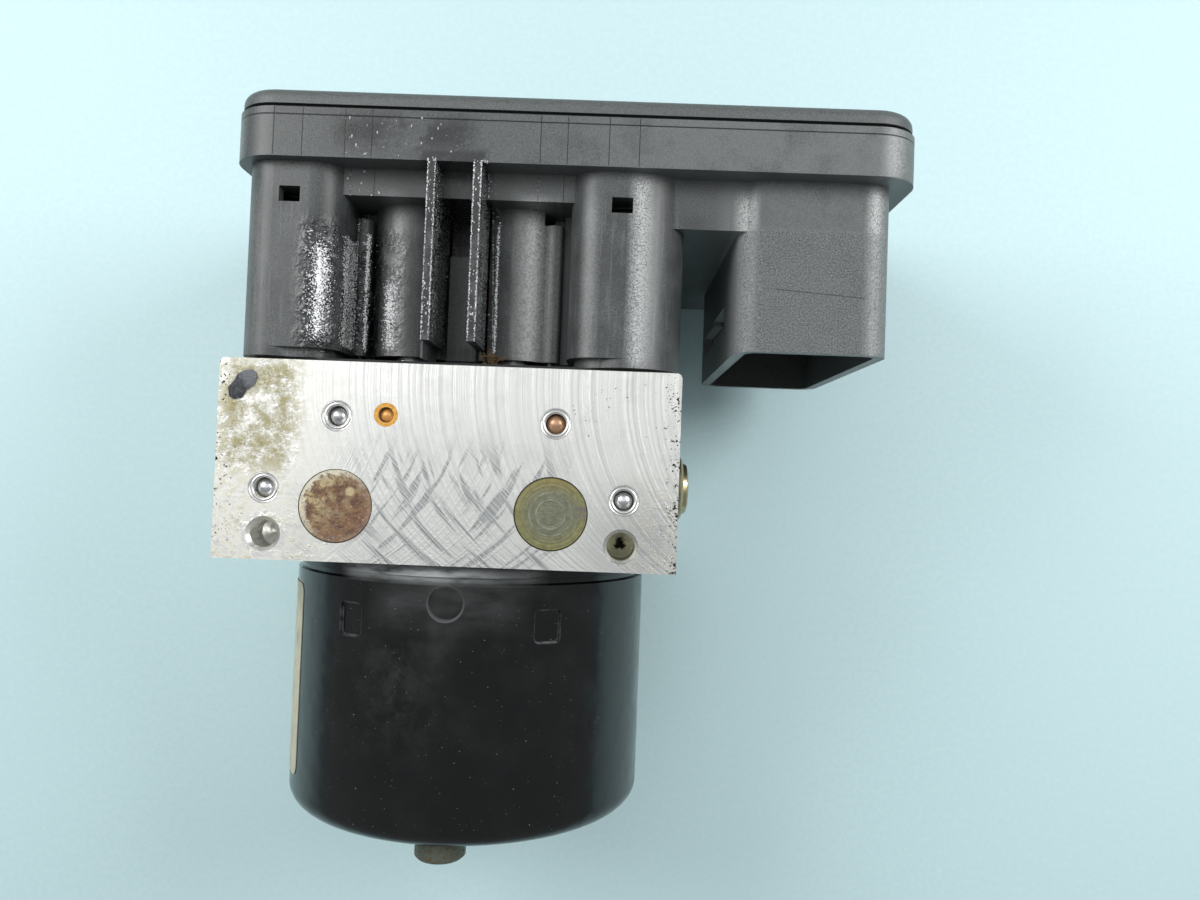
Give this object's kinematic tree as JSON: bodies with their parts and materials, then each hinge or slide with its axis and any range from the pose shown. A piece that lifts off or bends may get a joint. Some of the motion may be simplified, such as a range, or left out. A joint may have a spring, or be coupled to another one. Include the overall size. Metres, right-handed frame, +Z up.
{
  "type": "anti-lock brake hydraulic unit",
  "caption": "Anti-lock brake unit: aluminium valve block with ports, black cylindrical pump motor, and a plastic control unit with a side connector shroud.",
  "frame": {"origin": "centre of the valve block's port face, on which the unit lies", "axes": "+X along the block towards the connector, +Y from the motor to the lid, +Z up out of the machined face"},
  "size_m": [0.1559, 0.1682, 0.103],
  "materials": {
    "block": "milled",
    "rusty_steel": "rusty",
    "olive_steel": "yellow passivated, turned",
    "steel": "ground",
    "copper_steel": "copper plated",
    "lacquer": "clear amber lacquer",
    "golden_steel": "yellow passivated",
    "spring_steel": "drawn",
    "piston_alloy": "anodised",
    "copper": "enamelled copper wire",
    "commutator_copper": "turned copper",
    "housing": "black, glass filled",
    "lid": "black, fine grain",
    "gasket": "moulded",
    "board": "green solder resist",
    "relay": "black",
    "pins": "tinned",
    "can": "gloss black",
    "plate": "die cast",
    "magnet": "ferrite",
    "core": "laminated",
    "carbon": "carbon",
    "screw": "zinc plated",
    "label": "bare, beige",
    "peg": "rust speckled"
  },
  "bodies": {
    "unit": {"valve_block": "block", "accumulator_cap_left": "rusty_steel", "accumulator_spring_left": "spring_steel", "pump_plug_left": "golden_steel", "pump_sleeve_left": "steel", "pump_spring_left": "spring_steel", "field_magnet_left": "magnet", "brush_left": "carbon", "accumulator_cap_right": "olive_steel", "accumulator_spring_right": "spring_steel", "pump_plug_right": "golden_steel", "pump_sleeve_right": "steel", "pump_spring_right": "spring_steel", "field_magnet_right": "magnet", "brush_right": "carbon", "steel_ball_plugs": "steel", "copper_ball_plug": "copper_steel", "small_ball_plug": "copper_steel", "sealing_lacquer": "lacquer", "inlet_valve_1": "steel", "inlet_valve_2": "steel", "inlet_valve_3": "steel", "inlet_valve_4": "steel", "outlet_valve_1": "steel", "outlet_valve_2": "steel", "outlet_valve_3": "steel", "outlet_valve_4": "steel", "solenoid_coils": "copper", "motor_can": "can", "motor_plate": "plate", "front_bearing": "steel", "rear_bearing": "steel", "motor_screws": "screw", "motor_contacts": "pins", "motor_label": "label", "mounting_peg": "peg", "ecu_housing": "housing", "housing_gasket": "gasket", "circuit_board": "board", "relays": "relay", "connector_pins": "pins", "ecu_lid": "lid", "unit_screws": "screw"},
    "armature": {"motor_shaft": "steel", "armature_core": "core", "armature_windings": "copper", "commutator": "commutator_copper", "needle_ring": "steel"},
    "accumulator_piston_left": {"accumulator_piston_left": "piston_alloy"},
    "accumulator_piston_right": {"accumulator_piston_right": "piston_alloy"},
    "pump_piston_left": {"pump_piston_left": "steel"},
    "pump_piston_right": {"pump_piston_right": "steel"},
    "inlet_plunger_1": {"inlet_plunger_1": "steel"},
    "inlet_plunger_2": {"inlet_plunger_2": "steel"},
    "inlet_plunger_3": {"inlet_plunger_3": "steel"},
    "inlet_plunger_4": {"inlet_plunger_4": "steel"},
    "outlet_plunger_1": {"outlet_plunger_1": "steel"},
    "outlet_plunger_2": {"outlet_plunger_2": "steel"},
    "outlet_plunger_3": {"outlet_plunger_3": "steel"},
    "outlet_plunger_4": {"outlet_plunger_4": "steel"}
  },
  "joints": [
    {"name": "armature_spin", "type": "hinge", "parent": "unit", "child": "armature", "pos_m": [0.0006, 0, 0.054], "axis": [0, 1, 0], "continuous": true},
    {"name": "accumulator_left_slide", "type": "slide", "parent": "unit", "child": "accumulator_piston_left", "axis": [0, 0, 1], "range_m": [0, 0.008], "stiffness_N_per_m": 1500, "springref_m": -0.01, "deforming": ["accumulator_spring_left"]},
    {"name": "accumulator_right_slide", "type": "slide", "parent": "unit", "child": "accumulator_piston_right", "axis": [0, 0, 1], "range_m": [0, 0.008], "stiffness_N_per_m": 1500, "springref_m": -0.01, "deforming": ["accumulator_spring_right"]},
    {"name": "pump_left_slide", "type": "slide", "parent": "unit", "child": "pump_piston_left", "axis": [-1, 0, 0], "range_m": [0, 0.0022], "stiffness_N_per_m": 1500, "springref_m": -0.004},
    {"name": "pump_right_slide", "type": "slide", "parent": "unit", "child": "pump_piston_right", "axis": [1, 0, 0], "range_m": [0, 0.0022], "stiffness_N_per_m": 1500, "springref_m": -0.004},
    {"name": "inlet_plunger_1_slide", "type": "slide", "parent": "unit", "child": "inlet_plunger_1", "axis": [0, -1, 0], "range_m": [0, 0.0004], "stiffness_N_per_m": 1500, "springref_m": -0.002},
    {"name": "inlet_plunger_2_slide", "type": "slide", "parent": "unit", "child": "inlet_plunger_2", "axis": [0, -1, 0], "range_m": [0, 0.0004], "stiffness_N_per_m": 1500, "springref_m": -0.002},
    {"name": "inlet_plunger_3_slide", "type": "slide", "parent": "unit", "child": "inlet_plunger_3", "axis": [0, -1, 0], "range_m": [0, 0.0004], "stiffness_N_per_m": 1500, "springref_m": -0.002},
    {"name": "inlet_plunger_4_slide", "type": "slide", "parent": "unit", "child": "inlet_plunger_4", "axis": [0, -1, 0], "range_m": [0, 0.0004], "stiffness_N_per_m": 1500, "springref_m": -0.002},
    {"name": "outlet_plunger_1_slide", "type": "slide", "parent": "unit", "child": "outlet_plunger_1", "axis": [0, 1, 0], "range_m": [0, 0.0004], "stiffness_N_per_m": 1500, "springref_m": -0.002},
    {"name": "outlet_plunger_2_slide", "type": "slide", "parent": "unit", "child": "outlet_plunger_2", "axis": [0, 1, 0], "range_m": [0, 0.0004], "stiffness_N_per_m": 1500, "springref_m": -0.002},
    {"name": "outlet_plunger_3_slide", "type": "slide", "parent": "unit", "child": "outlet_plunger_3", "axis": [0, 1, 0], "range_m": [0, 0.0004], "stiffness_N_per_m": 1500, "springref_m": -0.002},
    {"name": "outlet_plunger_4_slide", "type": "slide", "parent": "unit", "child": "outlet_plunger_4", "axis": [0, 1, 0], "range_m": [0, 0.0004], "stiffness_N_per_m": 1500, "springref_m": -0.002}
  ]
}
